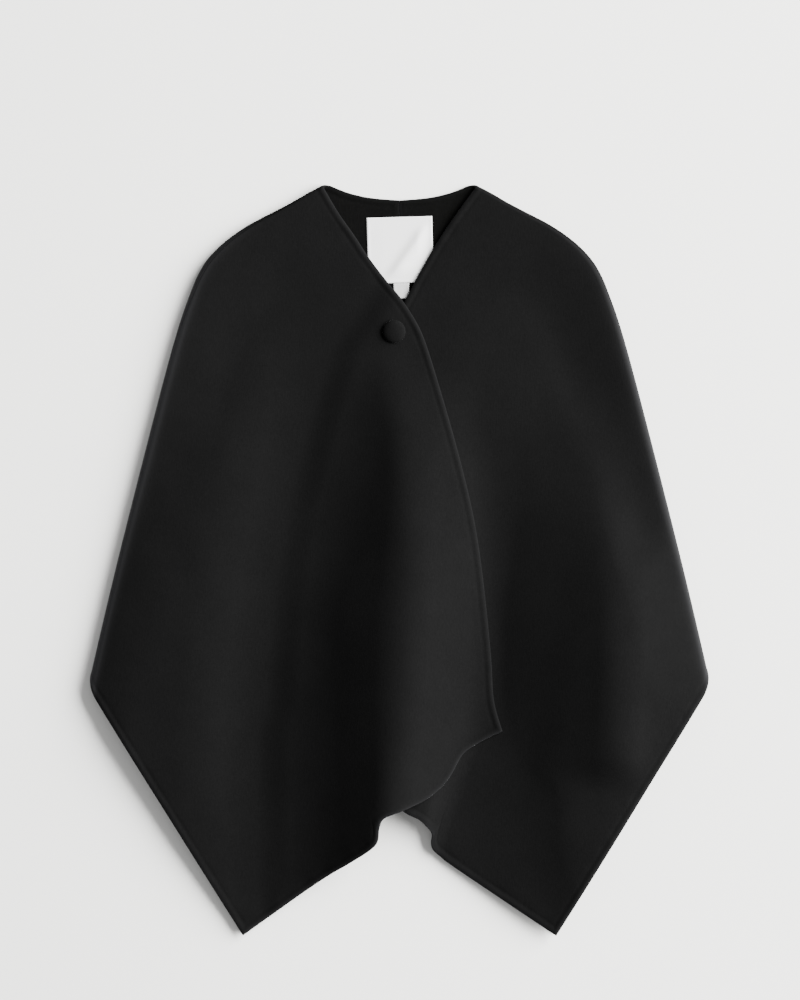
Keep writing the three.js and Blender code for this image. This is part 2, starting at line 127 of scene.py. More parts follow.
room = bpy.data.worlds.new("room")
room.use_nodes = True
room.node_tree.nodes["Background"].inputs["Color"].default_value = linear("#fdfdff")
room.node_tree.nodes["Background"].inputs["Strength"].default_value = ROOM_LIGHT
bpy.context.scene.world = room

# The back: two halves of double-faced wool, two webs woven together and felted, brushed to a short nap.
# They meet in the centre-back seam, and each turns up at the side to meet a front in the shoulder and
# side seam. Their raw edges are turned in between the two webs, so there is no lining or facing.
WALL = 3
SEAM_GAP = 0.04
HEM_CORNER = (187.5, -450)
SIDE_LINE = [
    (91, 450), (111, 439.5), (128, 429.5), (146, 420), (182, 401), (209, 382), (229, 362), (241, 343),
    (250, 322), (264, 282), (281, 222), (312, 102), (342, -18), (366, -120), (371.5, -146), (372.5, -168)]
BACK_NECK = [(81, 447), (63, 440), (45, 435.5), (27, 433), (0, 431.5)]
BACK_HEM_TOP = -290
ROLLS = [
    {"along": 0, "right_radius": 5, "left_radius": 5, "right_seam": 30, "left_seam": 30},
    {"along": 0.1, "right_radius": 5.5, "left_radius": 5.5, "right_seam": 60, "left_seam": 40},
    {"along": 0.22, "right_radius": 7, "left_radius": 7, "right_seam": 75, "left_seam": 45},
    {"along": 0.32, "right_radius": 7.5, "left_radius": 8, "right_seam": 60, "left_seam": 35},
    {"along": 0.45, "right_radius": 8, "left_radius": 9, "right_seam": 20, "left_seam": 10},
    {"along": 0.7, "right_radius": 8.5, "left_radius": 11, "right_seam": 0, "left_seam": 0},
    {"along": 1, "right_radius": 9, "left_radius": 11, "right_seam": 0, "left_seam": 0},
]
NECK_LEAN = {"front": 0.19, "back": -0.9}
HEM_SWEEP = 1.7

# Distances from a turned edge at which its roundness, its ridge and its stitched groove are drawn
EDGE_STEPS = [0, 0.15, 0.5, 1, 1.7, 2.5, 3.4, 4.4, 5.5, 6.7, 7.8, 8.8, 9.8, 10.8, 12, 14, 17]
SEAM_STEPS = [0, 0.2, 0.6, 1.1, 1.8, 2.8, 4]
ROLL_END_STEPS = [0, 4]
LEAST_REACH = 170
USUAL_SPAN = 500
FAR = 1000
ROLL_CELLS = 8
SEAM_SHARE = 0.6


def smooth(t):
    """Eased step from 0 to 1."""
    t = np.clip(t, 0, 1)
    return t * t * (3 - 2 * t)


def column(rows, key, place, name):
    """Reads a named column of a table of rows between its rows, eased from row to row."""
    order = sorted(rows, key=lambda row: row[key])
    keys = np.array([row[key] for row in order], float)
    values = np.array([row[name] for row in order], float)
    slopes = np.empty_like(values)
    slopes[1:-1] = (values[2:] - values[:-2]) / (keys[2:] - keys[:-2])
    slopes[0] = (values[1] - values[0]) / (keys[1] - keys[0])
    slopes[-1] = (values[-1] - values[-2]) / (keys[-1] - keys[-2])
    place = np.clip(place, keys[0], keys[-1])
    i = np.clip(np.searchsorted(keys, place) - 1, 0, len(keys) - 2)
    span = keys[i + 1] - keys[i]
    t = (place - keys[i]) / span
    start = (2 * t**3 - 3 * t**2 + 1) * values[i] + (t**3 - 2 * t**2 + t) * slopes[i] * span
    return start + (3 * t**2 - 2 * t**3) * values[i + 1] + (t**3 - t**2) * slopes[i + 1] * span


class DrawnLine:
    """A smooth line through a few points, read by the share of its length."""

    def __init__(self, points, side):
        p = np.array(points, float) * [side, 1]
        q = np.vstack([p[0], p, p[-1]])
        t = np.linspace(0, len(p) - 1, 80 * (len(p) - 1) + 1)
        i = np.minimum(t.astype(int), len(p) - 2)
        w = (t - i)[:, None]
        a, b, c, d = q[i], q[i + 1], q[i + 2], q[i + 3]
        start, end = (c - a) / 2, (d - b) / 2
        bend = (2 * b - 2 * c + start + end) * w**3 + (3 * c - 3 * b - 2 * start - end) * w**2
        self.points = bend + start * w + b
        steps = np.hypot(*np.diff(self.points, axis=0).T)
        self.lengths = np.concatenate([[0], np.cumsum(steps)])
        self.length = self.lengths[-1]

    def at(self, share):
        place = np.asarray(share) * self.length
        return np.stack([np.interp(place, self.lengths, self.points[:, k]) for k in (0, 1)], axis=-1)

    def heading(self, share):
        step = 0.0005
        ahead = self.at(np.clip(share + step, 0, 1)) - self.at(np.clip(share - step, 0, 1))
        return ahead / np.linalg.norm(ahead, axis=-1, keepdims=True)


def roll_radius(side, u):
    return column(ROLLS, "along", u, "right_radius" if side < 0 else "left_radius")


def roll_seam(side, u):
    return np.radians(column(ROLLS, "along", u, "right_seam" if side < 0 else "left_seam"))


def roll_point(side, u, angle):
    """Place on a panel's round side: u along the side, and the angle up from its widest line."""
    line = DrawnLine(SIDE_LINE, side)
    radius = roll_radius(side, u)
    hem_shift = HEM_SWEEP * radius * (np.pi / 2 - np.abs(angle)) / line.length
    lean = np.where(angle > 0, NECK_LEAN["front"], NECK_LEAN["back"])
    place = u * (1 - hem_shift) + (1 - u) * lean * radius * np.abs(angle) / line.length
    share = np.clip(place, 0, 1)
    heading = line.heading(share)
    p = line.at(share) + heading * ((place - share) * line.length)[..., None]
    inward = np.stack([side * heading[..., 1], -side * heading[..., 0]], axis=-1)
    reach = radius - radius * np.cos(angle)
    p = p + inward * reach[..., None]
    return np.stack([p[..., 0], p[..., 1], radius + radius * np.sin(angle)], axis=-1)


def between(borders, u, v):
    """Plan point between four border curves, each a function of 0 to 1."""
    top, bottom, inner, outer = borders
    u1, v1 = np.asarray(u)[..., None], np.asarray(v)[..., None]
    zero, one = np.zeros(1), np.ones(1)
    p = top(u) * (1 - v1) + bottom(u) * v1 + inner(v) * (1 - u1) + outer(v) * u1
    p = p - top(zero) * (1 - u1) * (1 - v1) - top(one) * u1 * (1 - v1)
    return p - bottom(zero) * (1 - u1) * v1 - bottom(one) * u1 * v1


def spread(cells, before, after, steps_before, steps_after):
    """Shares of a varying width from 0 to 1: fine steps at both ends and even cells between."""
    first = np.array(steps_before)[:, None] / before
    last = 1 - np.array(steps_after)[::-1, None] / after
    inside = np.linspace(0, 1, cells + 1)[1:-1, None]
    return np.concatenate([first, first[-1] + (last[0] - first[-1]) * inside, last]).T


def reach_from(borders, edge, places):
    """Width in mm that a share of 1 stands for, square to one border, at places along it."""
    step = 0.004
    near, ahead, behind, deep = {
        "inner": ((0, 0), (0, step), (0, -step), (step, 0)),
        "outer": ((1, 0), (1, step), (1, -step), (1 - step, 0)),
        "hem": ((0, 1), (step, 1), (-step, 1), (0, 1 - step)),
    }[edge]

    def at(shift):
        if edge == "hem":
            return between(borders, np.clip(places + shift[0], 0, 1), np.full_like(places, shift[1]))
        return between(borders, np.full_like(places, shift[0]), np.clip(places + shift[1], 0, 1))

    along = at(ahead) - at(behind)
    along /= np.linalg.norm(along, axis=-1, keepdims=True)
    inwards = at(deep) - at(near)
    across = np.abs(inwards[:, 0] * along[:, 1] - inwards[:, 1] * along[:, 0])
    return np.maximum(across / step, LEAST_REACH)


def with_corner(shares, corner):
    """Rows of shares from 0 to 1, stretched a little so that one row lands on a corner."""
    row = shares[np.argmin(np.abs(shares.reshape(len(shares), -1).mean(axis=1) - corner))]
    before = shares / row * corner
    after = 1 - (1 - shares) / (1 - row) * (1 - corner)
    return np.where(shares <= row, before, after)


def panel_grid(borders, side, leave, cells_across, cells_along, corner=None):
    """Shares (u, v) and angles of a panel's points, and their distances from its edges and its seam.

    The function leave gives the angle at which the panel leaves its side roll. A corner is the share v at
    which the inner edge turns."""
    usual = np.array([float(USUAL_SPAN)])
    nominal_u = spread(cells_across, usual, usual, EDGE_STEPS, EDGE_STEPS)[0]
    hem = reach_from(borders, "hem", nominal_u)
    nominal_v = spread(cells_along, usual, np.array([hem.mean()]), ROLL_END_STEPS, EDGE_STEPS)[0]
    if corner:
        nominal_v = with_corner(nominal_v, corner)
    inner = reach_from(borders, "inner", nominal_v)
    outer = reach_from(borders, "outer", nominal_v)
    u = spread(cells_across, inner, outer, EDGE_STEPS, EDGE_STEPS)
    v = spread(cells_along, np.full_like(hem, USUAL_SPAN), hem, ROLL_END_STEPS, EDGE_STEPS).T
    if corner:
        v = with_corner(v, corner)
    radius = roll_radius(side, u[0])
    end = leave(u[0])
    turned_up = np.sign(end)
    arc = turned_up * (end - roll_seam(side, u[0])) * radius - SEAM_GAP / 2
    least_arc = np.maximum(arc, SEAM_STEPS[-1] / SEAM_SHARE)
    roll = spread(ROLL_CELLS, least_arc, np.full_like(arc, 1), SEAM_STEPS, [0]).T[:-1]
    angle = end - turned_up * (1 - roll) * arc / radius
    u_all = np.vstack([np.repeat(u[:1], len(roll), axis=0), u])
    v_all = np.vstack([np.zeros_like(roll), v])
    angle_all = np.vstack([angle, np.repeat(end[None], len(v), axis=0)])
    inner_all = np.concatenate([np.full(len(roll), inner[0]), inner])[:, None]
    outer_all = np.concatenate([np.full(len(roll), outer[0]), outer])[:, None]
    distances = {
        "inner": u_all * inner_all,
        "outer": (1 - u_all) * outer_all,
        "hem": (1 - v_all) * hem,
        "seam": np.vstack([roll * arc, v * USUAL_SPAN + arc]),
    }
    return u_all, v_all, angle_all, distances


def rounded(distance, radius):
    """Share of a wall's half thickness at a distance from an edge that is round."""
    inside = np.clip(distance / radius, 0, 1)
    return np.sqrt(np.clip(1 - (1 - inside)**2, 0, 1))


def dent(distance, place, width):
    return np.exp(-((distance - place) / width)**2)


TURNING = {
    "ridge_at": 4.2, "ridge": 0.24, "ridge_width": 2, "groove_at": 8.8, "groove": 0.24, "groove_width": 2,
    "pad": 0.1, "pad_ease": 5, "round": 4}


def turned_edge(distance):
    """Height of a turned and blind-stitched edge: a padded ridge, then the groove of the stitches."""
    ridge = TURNING["ridge"] * dent(distance, TURNING["ridge_at"], TURNING["ridge_width"])
    pad = TURNING["pad"] * smooth((TURNING["groove_at"] - distance) / TURNING["pad_ease"])
    return ridge + pad - TURNING["groove"] * dent(distance, TURNING["groove_at"], TURNING["groove_width"])


# Painted sheen: how much lighter colour is painted in where the cloth is bent, and over how many mm from
# the bend, standing in for the light that the nap catches at a slant. It is painted strongest on the roll
# of the wearer's right side, which faces away from the window light, and weaker along the hems and turned
# edges. The backs are drawn a little darker all over.
PAINTED_SHEEN = {
    "right": 0.9, "left": 0.34, "roll_reach": 4, "from": 0.08, "to": 0.4,
    "hem": 0.17, "edge": 0.05, "edge_reach": 1.7, "inside": -0.035}


def painted_sheen_at(side, u, angle, from_roll, distance):
    """Share of painted sheen, a lighter colour that stands in for the light the nap catches at a slant:
    most on the side rolls, less on the turned edges.
    """
    from_rim = roll_radius(side, u) * (1 - np.cos(np.maximum(angle, 0))) + from_roll
    down_arm = smooth((u - PAINTED_SHEEN["from"]) / (PAINTED_SHEEN["to"] - PAINTED_SHEEN["from"]))
    on_roll = down_arm * PAINTED_SHEEN["right" if side < 0 else "left"] * np.exp(-from_rim / PAINTED_SHEEN["roll_reach"])
    on_hem = PAINTED_SHEEN["hem"] * np.exp(-np.minimum(distance["hem"], distance["outer"]) / PAINTED_SHEEN["edge_reach"])
    on_edge = PAINTED_SHEEN["edge"] * np.exp(-distance["inner"] / PAINTED_SHEEN["edge_reach"])
    return np.maximum(on_roll, np.maximum(on_hem, on_edge))


def grid_normals(points):
    """Unit normals of a grid of points, from the steps to its neighbours."""
    down = np.gradient(points, axis=0)
    across = np.gradient(points, axis=1)
    normal = np.cross(across, down)
    length = np.linalg.norm(normal, axis=-1, keepdims=True)
    return normal / np.maximum(length, 1e-9)


def panel_mesh(name, face, back, bend):
    """Closed shell of one panel: a grid shaped to its face, and a turned copy shaped to its back.

    The attribute "bend" keeps the share of painted sheen at each point: a lighter colour that stands in for
    the light caught on the rolls and edges."""
    rows, columns = face.shape[:2]
    bm = bmesh.new()
    painted_sheen_layer = bm.verts.layers.float.new("bend")
    bmesh.ops.create_grid(bm, x_segments=columns - 1, y_segments=rows - 1, size=1)
    bm.verts.ensure_lookup_table()
    upper = list(bm.verts)
    copied = bmesh.ops.duplicate(bm, geom=bm.verts[:] + bm.edges[:] + bm.faces[:])
    lower_faces = [item for item in copied["geom"] if isinstance(item, bmesh.types.BMFace)]
    bmesh.ops.reverse_faces(bm, faces=lower_faces)
    for vert in upper:
        i = round((vert.co.x + 1) / 2 * (columns - 1))
        j = round((vert.co.y + 1) / 2 * (rows - 1))
        twin = copied["vert_map"][vert]
        vert.co = Vector(face[j, i]) * MM
        twin.co = Vector(back[j, i]) * MM
        vert[painted_sheen_layer] = twin[painted_sheen_layer] = bend[j, i]
    bmesh.ops.remove_doubles(bm, verts=bm.verts, dist=0.02 * MM)
    bmesh.ops.recalc_face_normals(bm, faces=bm.faces)
    for piece_face in bm.faces:
        piece_face.smooth = True
    new_mesh = bpy.data.meshes.new(name)
    bm.to_mesh(new_mesh)
    bm.free()
    return new_mesh


def add_piece(name, new_mesh, material, nodes=()):
    """The object of a finished piece, which rides on the body and may replace CAD nodes."""
    piece = bpy.data.objects.new(name, new_mesh)
    bpy.context.collection.objects.link(piece)
    piece.data.materials.append(material)
    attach(piece, "root")
    if nodes:
        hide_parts(*nodes)
    return piece


# Double-faced melton: felted black wool with a short nap that is brushed one way. The nap scatters light
# softly at a slant, so slopes that face the window go grey and the rest stays nearly black. The brushing
# leaves fine hairs along the cloth and faint cloudy patches. On the rolls, hems and edges a lighter colour
# is
# painted in: a painted sheen that stands in for the light the nap catches where the cloth is bent.
# Real hairs are finer than the picture shows, so they are drawn 0.9 mm apart.
NAP = {"hair": 0.9, "hair_length": 7, "tuft": 2.6, "cloud": 38, "bump": 0.22}
NAP_TONE = {"base": 0.22, "clouds": 0.16, "hairs": 0.35}

melton, output = bare_material("black_melton")
coordinates = add_node(melton, "ShaderNodeTexCoord")
stretch = add_node(
    melton, "ShaderNodeMapping",
    inputs={"Scale": (1, NAP["hair"] / NAP["hair_length"], 1)},
    links={"Vector": coordinates.outputs["Object"]})
hairs = add_node(
    melton, "ShaderNodeTexNoise",
    inputs={"Scale": 1 / (NAP["hair"] * MM), "Detail": 3, "Roughness": 0.65},
    links={"Vector": stretch.outputs["Vector"]})
tufts = add_node(
    melton, "ShaderNodeTexNoise",
    inputs={"Scale": 1 / (NAP["tuft"] * MM), "Detail": 4, "Roughness": 0.7},
    links={"Vector": coordinates.outputs["Object"]})
clouds = add_node(
    melton, "ShaderNodeTexNoise",
    inputs={"Scale": 1 / (NAP["cloud"] * MM), "Detail": 3, "Roughness": 0.55},
    links={"Vector": coordinates.outputs["Object"]})
nap = add_node(
    melton, "ShaderNodeMath", {"operation": "ADD"},
    links={0: hairs.outputs["Fac"], 1: tufts.outputs["Fac"]})
shade = add_node(
    melton, "ShaderNodeMath", {"operation": "MULTIPLY_ADD"},
    inputs={1: NAP_TONE["clouds"], 2: NAP_TONE["base"]}, links={0: clouds.outputs["Fac"]})
tone = add_node(
    melton, "ShaderNodeMath", {"operation": "MULTIPLY_ADD"},
    inputs={1: NAP_TONE["hairs"]}, links={0: nap.outputs["Value"], 2: shade.outputs["Value"]})
wool_colour = add_node(melton, "ShaderNodeValToRGB", links={"Fac": tone.outputs["Value"]})
wool_colour.color_ramp.elements[0].position = 0.45
wool_colour.color_ramp.elements[0].color = linear("#070707")
wool_colour.color_ramp.elements[1].position = 0.85
wool_colour.color_ramp.elements[1].color = linear("#0f0f0f")
nap_bump = add_node(
    melton, "ShaderNodeBump",
    inputs={"Strength": 0.55, "Distance": NAP["bump"] * MM},
    links={"Height": nap.outputs["Value"]})
# Painted sheen: the base colour is lightened towards #3c3c3e by the share in the "bend" attribute. This
# stands in for the light the nap catches on the rolls, hems and edges.
painted_sheen_node = add_node(melton, "ShaderNodeAttribute", {"attribute_name": "bend"})
colour_with_painted_sheen = add_node(
    melton, "ShaderNodeVectorMath", {"operation": "MULTIPLY_ADD"},
    inputs={1: linear("#3c3c3e")[:3]},
    links={0: painted_sheen_node.outputs["Fac"], 2: wool_colour.outputs["Color"]})
shader = add_node(
    melton, "ShaderNodeBsdfPrincipled",
    inputs={
        "Roughness": 0.92, "Specular IOR Level": 0.04, "Sheen Weight": 0.12, "Sheen Roughness": 0.2,
        "Sheen Tint": linear("#f4f4f8")},
    links={"Base Color": colour_with_painted_sheen.outputs["Vector"], "Normal": nap_bump.outputs["Normal"]})
melton.node_tree.links.new(shader.outputs["BSDF"], output.inputs["Surface"])

BACK_CELLS = {"across": 90, "along": 96}
NECK_SHARE = 0.5
# How far the hem corner of the back is tucked in under the front's, across and along
CORNER_TUCK = (1, 2)
# How much tighter than a turned edge the cloth rounds over at a seam, on the back and on a front
SEAM_TIGHTNESS = {"back": 3, "front": 4}


def back_borders(side):
    low = np.full(1, -np.pi / 2)
    neck = DrawnLine(BACK_NECK, side)
    side_start = roll_point(side, np.ones(1), low)[0, :2]
    neck_start = roll_point(side, np.zeros(1), low)[0, :2]
    seam = side * SEAM_GAP / 2
    seam_top = np.array([seam, BACK_NECK[-1][1]])
    hem_top = np.array([seam, BACK_HEM_TOP])
    corner = np.array([side * (HEM_CORNER[0] - CORNER_TUCK[0]), HEM_CORNER[1] + CORNER_TUCK[1]])
    neck_shift = neck_start - neck.at(0)

    def inner(v):
        v = np.asarray(v, float)
        share = np.clip(v / NECK_SHARE, 0, 1)[..., None]
        p = neck.at(share[..., 0]) + neck_shift * (1 - share)
        p[..., 0] = side * np.maximum(side * p[..., 0], SEAM_GAP / 2)
        down = np.clip((v - NECK_SHARE) / (1 - NECK_SHARE), 0, 1)[..., None]
        return np.where(v[..., None] >= NECK_SHARE, seam_top + (hem_top - seam_top) * down, p)

    return (
        lambda u: roll_point(side, np.asarray(u, float), np.full(np.shape(u), -np.pi / 2))[..., :2],
        lambda u: hem_top + (corner - hem_top) * np.asarray(u)[..., None],
        inner,
        lambda v: side_start + (corner - side_start) * np.asarray(v)[..., None],
    )


for side, name in ((-1, "right_back"), (1, "left_back")):
    borders = back_borders(side)
    u, v, angle, distance = panel_grid(
        borders, side, lambda share: np.full_like(share, -np.pi / 2),
        BACK_CELLS["across"], BACK_CELLS["along"], corner=NECK_SHARE)
    rolled = roll_point(side, u, angle)
    flat_part = between(borders, u, v)
    under = np.where((v > 0)[..., None], np.dstack([flat_part, np.zeros_like(u)]), rolled)
    normal = grid_normals(under)
    normal *= np.where(normal[-1, u.shape[1] // 2, 2] > 0, -1, 1)
    on_neck = v < NECK_SHARE
    edge = np.minimum(distance["hem"], distance["outer"])
    neck_edge = np.where(on_neck, distance["inner"], FAR)
    centre_seam = np.where(on_neck, FAR, distance["inner"])
    turned = np.minimum(edge, neck_edge)
    seams = np.minimum(distance["seam"], centre_seam)
    half = WALL / 2 * rounded(np.minimum(turned, seams * SEAM_TIGHTNESS["back"]), WALL / 2)
    inside = half + rounded(np.minimum(turned, seams), WALL / 2) * turned_edge(turned)
    middle = under - normal * WALL / 2
    under_roll = np.maximum(-angle, 0) * roll_radius(side, u)
    # Painted sheen on the rolls and edges; the backs are drawn a little darker all over.
    bend = painted_sheen_at(side, u, angle, under_roll, distance) + PAINTED_SHEEN["inside"]
    panel = panel_mesh(name, middle + normal * half[..., None], middle - normal * inside[..., None], bend)
    piece = add_piece(f"{name}_wool", panel, melton, [name])

# The fronts: two more halves of the same double-faced wool, from the neck point over the shoulder to a
# stepped, slanting hem. The left one lies on the back, and the right one laps over it from just above
# the button down to the hem.
# Both stand up in a tall middle fold and one soft fold at each side, as the cloak was laid down.
LAP_CLEARANCE = 1.3
REST_HEIGHT = 8
ROLL_BLEND = 85
FULL_RISE = 8
RIGHT_EDGE = [
    (-90, 446), (-73, 416.5), (-54, 389), (-37, 363), (-14, 332.5), (1, 314.5), (14, 295.5), (24.5, 277),
    (33, 255), (45, 217), (63, 156), (79, 96), (91, 42), (99, -12), (105, -66), (110, -120),
    (113, -168), (123, -205)]
LEFT_EDGE = [
    (-90, 446), (-72.5, 422), (-56.5, 398.5), (-41, 374), (-19, 335), (-9.5, 316.5), (0.5, 299), (14, 278),
    (33, 255), (45, 217), (63, 156), (79, 96), (91, 42), (99, -12), (105, -66), (110, -120),
    (113, -168), (123, -205)]
RIGHT_HEM = [
    (123, -205), (106, -213), (87, -224), (76, -233), (69, -245), (60, -261), (48, -274), (32, -286),
    (3, -299), (-18, -307), (-24, -318), (-26, -334), (-34, -344), (-59, -361), (-97, -385), (-187.5, -450)]
LEFT_HEM = [
    (123, -205), (80, -230), (40, -262), (-3, -299), (-23, -310), (-34.5, -320.5), (-39.5, -328.5),
    (-38.5, -338.5), (-40.5, -347), (-49, -355.5), (-71, -372), (-187.5, -450)]
FOLD_PLACES = [
    {"y": 330, "soft": -190, "dip": -88, "ridge": -2, "foot": 84, "side": 200, "rim": 300},
    {"y": 245, "soft": -194, "dip": -90, "ridge": 0, "foot": 92, "side": 215, "rim": 315},
    {"y": 168, "soft": -208, "dip": -102, "ridge": 8, "foot": 104, "side": 238, "rim": 334},
    {"y": 96, "soft": -226, "dip": -114, "ridge": 12, "foot": 116, "side": 258, "rim": 348},
    {"y": 24, "soft": -246, "dip": -118, "ridge": 12, "foot": 114, "side": 264, "rim": 360},
    {"y": -48, "soft": -258, "dip": -132, "ridge": 8, "foot": 112, "side": 264, "rim": 364},
    {"y": -120, "soft": -263, "dip": -145, "ridge": 3, "foot": 112, "side": 262, "rim": 364},
    {"y": -192, "soft": -267, "dip": -156, "ridge": -2, "foot": 104, "side": 258, "rim": 360},
    {"y": -264, "soft": -268, "dip": -161, "ridge": -8, "foot": 82, "side": 257, "rim": 352},
    {"y": -340, "soft": -265, "dip": -150, "ridge": -20, "foot": 56, "side": 250, "rim": 340},
    {"y": -450, "soft": -252, "dip": -140, "ridge": -40, "foot": 20, "side": 235, "rim": 320},
]
FOLD_HEIGHTS = [
    {"y": 330, "soft": 8, "ridge": 8, "foot": 8.5, "side": 8, "rim": 8},
    {"y": 245, "soft": 9, "ridge": 11, "foot": 13, "side": 9, "rim": 9},
    {"y": 168, "soft": 14.5, "ridge": 24, "foot": 15, "side": 16, "rim": 14},
    {"y": 96, "soft": 20, "ridge": 33, "foot": 13, "side": 24, "rim": 20},
    {"y": 24, "soft": 23.5, "ridge": 40, "foot": 11, "side": 36, "rim": 28},
    {"y": -48, "soft": 25, "ridge": 46, "foot": 11, "side": 45, "rim": 33},
    {"y": -120, "soft": 25, "ridge": 50, "foot": 10, "side": 49, "rim": 33},
    {"y": -192, "soft": 24, "ridge": 52, "foot": 9, "side": 47, "rim": 28},
    {"y": -264, "soft": 22, "ridge": 52, "foot": 9, "side": 41, "rim": 22},
    {"y": -340, "soft": 19, "ridge": 48, "foot": 9, "side": 36, "rim": 15},
    {"y": -450, "soft": 13, "ridge": 30, "foot": 8, "side": 19, "rim": 9},
]
# Shares of a slope's width over which it starts and ends softly
FOLD_SOFTNESS = [
    {"y": 245, "ridge_in": 0.6, "ridge_out": 0.3, "foot_in": 0.4,
     "foot_out": 0.4, "side_in": 0.4, "side_out": 0.4},
    {"y": 132, "ridge_in": 0.75, "ridge_out": 0.2, "foot_in": 0.35,
     "foot_out": 0.3, "side_in": 0.3, "side_out": 0.3},
    {"y": -48, "ridge_in": 0.45, "ridge_out": 0.25, "foot_in": 0.3,
     "foot_out": 0.28, "side_in": 0.12, "side_out": 0.18},
    {"y": -144, "ridge_in": 0.5, "ridge_out": 0.2, "foot_in": 0.28,
     "foot_out": 0.28, "side_in": 0.12, "side_out": 0.16},
    {"y": -228, "ridge_in": 0.58, "ridge_out": 0.15, "foot_in": 0.28,
     "foot_out": 0.28, "side_in": 0.3, "side_out": 0.15},
    {"y": -300, "ridge_in": 0.62, "ridge_out": 0.12, "foot_in": 0.35,
     "foot_out": 0.3, "side_in": 0.72, "side_out": 0.12},
    {"y": -450, "ridge_in": 0.6, "ridge_out": 0.2, "foot_in": 0.4,
     "foot_out": 0.3, "side_in": 0.75, "side_out": 0.12},
]
LAP_SAG = {"from_y": -235, "to_y": -280, "height": 24, "share": 0.85, "ease": 6}
LAP_RISE = {"from": -48, "to": -8}
FRONT_CELLS = {"across": 128, "along": 150}
# How soon the top of a front's edge meets the neck point, and how softly the creases fade to the edges
NECK_MEETS = 12
CREASE_FADE = {"side": 40, "edge": 30}


def ramp(t, start, end):
    """Share of an even slope from 0 to 1 that starts and ends softly over shares of its width."""
    t = np.clip(t, 0, 1)
    steep = 1 / (1 - (start + end) / 2)
    even = np.where(t < start, steep * t**2 / (2 * start), steep * (t - start / 2))
    return np.where(t > 1 - end, 1 - steep * (1 - t)**2 / (2 * end), even)


def fold_height(x, y):
    """Height of the fronts' upper face over the table before the lap is added."""
    names = ("soft", "dip", "ridge", "foot", "side", "rim")
    places = [column(FOLD_PLACES, "y", y, name) for name in names]
    heights = [
        REST_HEIGHT if name == "dip" else column(FOLD_HEIGHTS, "y", y, name) for name in names]
    z = heights[0]
    for i, name in enumerate(names[1:]):
        if name in ("ridge", "foot", "side"):
            start, end = (column(FOLD_SOFTNESS, "y", y, f"{name}_{part}") for part in ("in", "out"))
        else:
            start, end = (0.5, 0.5) if name == "dip" else (0.3, 0.7)
        t = (x - places[i]) / (places[i + 1] - places[i])
        z = z + (heights[i + 1] - heights[i]) * ramp(t, start, end)
    return z


def left_height(x, y):
    """Height of the left front's face, which sags where the hem of the lap crosses it."""
    z = fold_height(x, y)
    over = np.maximum(z - LAP_SAG["height"], 0)
    reached = smooth((y - LAP_SAG["from_y"]) / (LAP_SAG["to_y"] - LAP_SAG["from_y"]))
    return z - reached * LAP_SAG["share"] * over**2 / (over + LAP_SAG["ease"])


def side_rise(side, u):
    """How far the fold beside a side roll stands above the roll."""
    p = DrawnLine(SIDE_LINE, side).at(u)
    return np.maximum(fold_height(p[..., 0], p[..., 1]) - 2 * roll_radius(side, u), 0)


def leave_angle(side, u):
    """Angle at which a front leaves its side roll for the fold beside it."""
    rise = side_rise(side, u)
    return np.pi / 2 - np.arctan(2 * smooth(rise / FULL_RISE) * rise / ROLL_BLEND)


def slope_of(height, x, y):
    step = 1.0
    across = (height(x + step, y) - height(x - step, y)) / (2 * step)
    along = (height(x, y + step) - height(x, y - step)) / (2 * step)
    return np.hypot(across, along)


def upper_height(x, y):
    """Height of the right front's face: the folds, raised where the left front lies under the lap."""
    hidden_edge = [{"x": -px, "y": py} for px, py in LEFT_EDGE]
    past = x - column(hidden_edge, "y", y, "x")
    cover = smooth((past - LAP_RISE["from"]) / (LAP_RISE["to"] - LAP_RISE["from"]))
    steepness = np.hypot(1, slope_of(fold_height, x, y))
    return fold_height(x, y) + cover * (WALL * steepness + LAP_CLEARANCE)


# Soft creases that the folded cloak keeps: ends, width and height over the cloth, in mm
CREASES = [
    {"from": (-300, 120), "to": (-200, -60), "width": 26, "height": 0.9},
    {"from": (-160, 270), "to": (-215, 90), "width": 24, "height": 0.7},
    {"from": (150, 300), "to": (210, 120), "width": 24, "height": 0.9},
    {"from": (190, -20), "to": (150, -260), "width": 26, "height": -1.0},
    {"from": (-230, -120), "to": (-215, -340), "width": 24, "height": 0.8},
]


def creases(x, y):
    """Low, uneven swells of cloth that has been folded away and shaken out."""
    z = 0.5 * np.sin(x / 31 + 1.3 * np.sin(y / 53)) * np.sin(y / 67 + 0.8)
    z = z + 0.25 * np.sin(x / 17 - y / 29 + 2) * np.sin(y / 23 + x / 41)
    for crease in CREASES:
        start, end = np.array(crease["from"], float), np.array(crease["to"], float)
        along = (end - start) / np.sum((end - start)**2)
        t = (x - start[0]) * along[0] + (y - start[1]) * along[1]
        off = np.hypot(x - start[0] - t * (end[0] - start[0]), y - start[1] - t * (end[1] - start[1]))
        fade = smooth(t / 0.3 + 0.3) * smooth((1 - t) / 0.3 + 0.3)
        z = z + crease["height"] * fade * np.exp(-(off / crease["width"])**2)
    return z


# How uneven the hand-turned edges are, and between which distances from the edge
HANDWORK = {"height": 0.16, "from": 2, "to": 16, "fade": 8}


def handwork(x, y):
    """Small unevenness of an edge that is turned and sewn by hand."""
    bumps = np.sin(x / 5.3 + y / 7.9) * np.sin(y / 13 - x / 19)
    return HANDWORK["height"] * (bumps + 0.6 * np.sin(y / 3.7 + x / 11))


